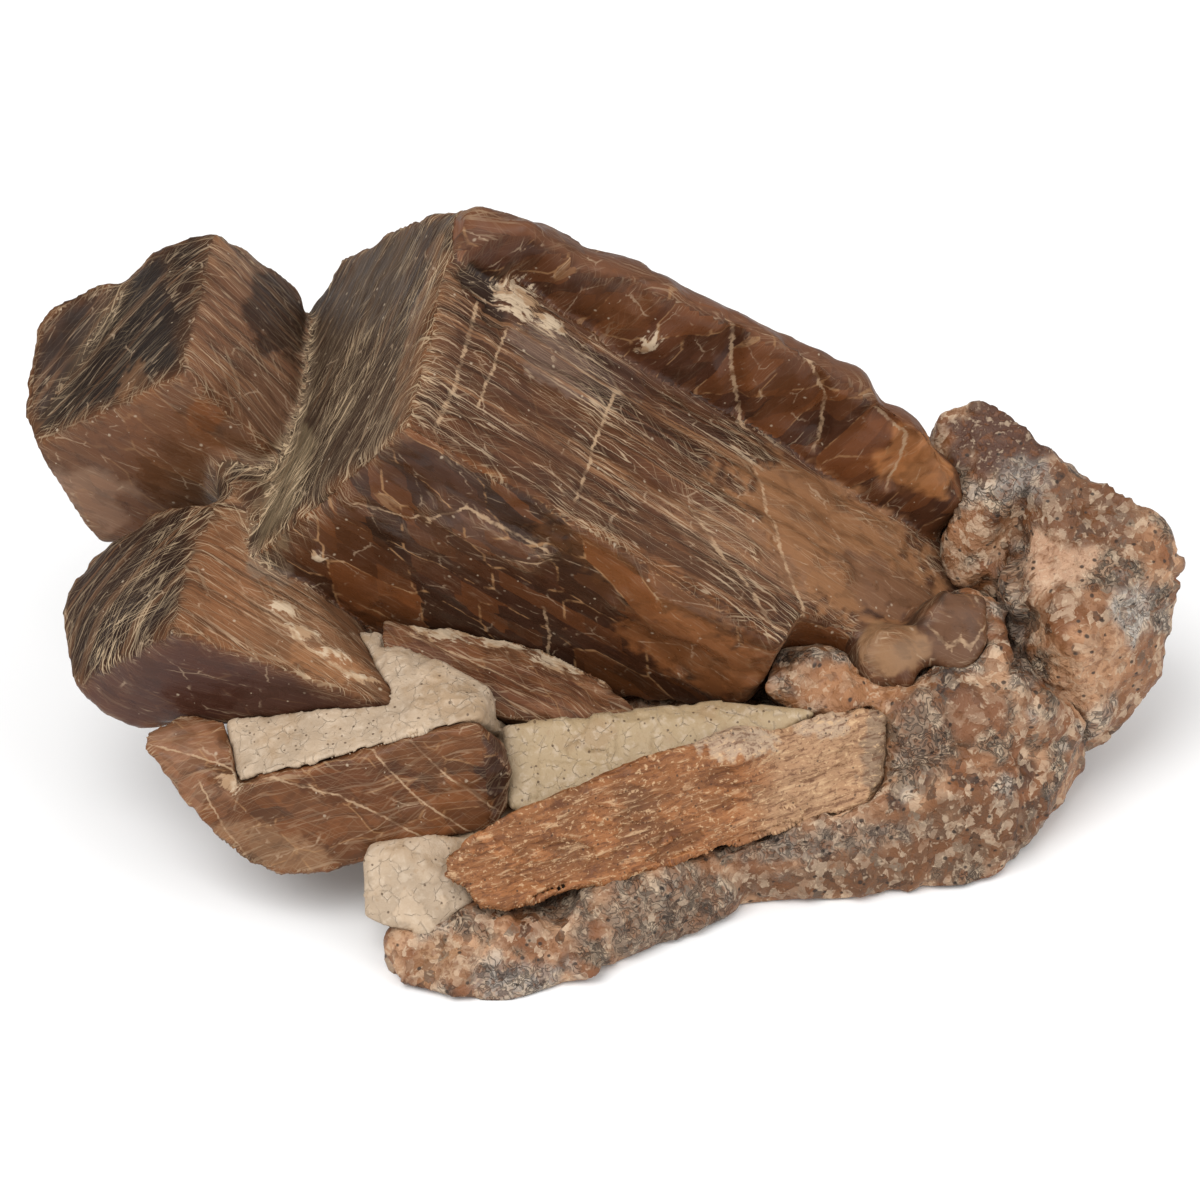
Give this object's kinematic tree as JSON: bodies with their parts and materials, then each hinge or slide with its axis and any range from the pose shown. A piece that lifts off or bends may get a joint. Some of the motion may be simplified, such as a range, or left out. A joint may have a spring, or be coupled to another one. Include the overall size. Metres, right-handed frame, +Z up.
{
  "type": "andalusite crystal specimen",
  "caption": "Brown andalusite hand specimen: stout striated prisms grown together, with a pale quartz vein and granular host rock, for display on its flat underside.",
  "frame": {"origin": "centre of the bounding box, on the flat underside", "axes": "+Z up, +X to the right in the picture, -Y towards its viewer"},
  "size_m": [0.1324, 0.078, 0.0695],
  "materials": {
    "cluster": "glassy on cleavage faces, silky and striated on growth faces",
    "front": "vitreous, scratched",
    "blade": "vitreous with chalky edges",
    "long": "rough, fibrous, with bright glints",
    "quartz": "waxy, finely cracked",
    "rock": "matt, granular"
  },
  "bodies": {
    "root": {"crystal_cluster": "cluster", "front_crystal": "front", "blade_crystal": "blade", "long_crystal": "long", "quartz_vein": "quartz", "host_rock": "rock"}
  },
  "joints": []
}
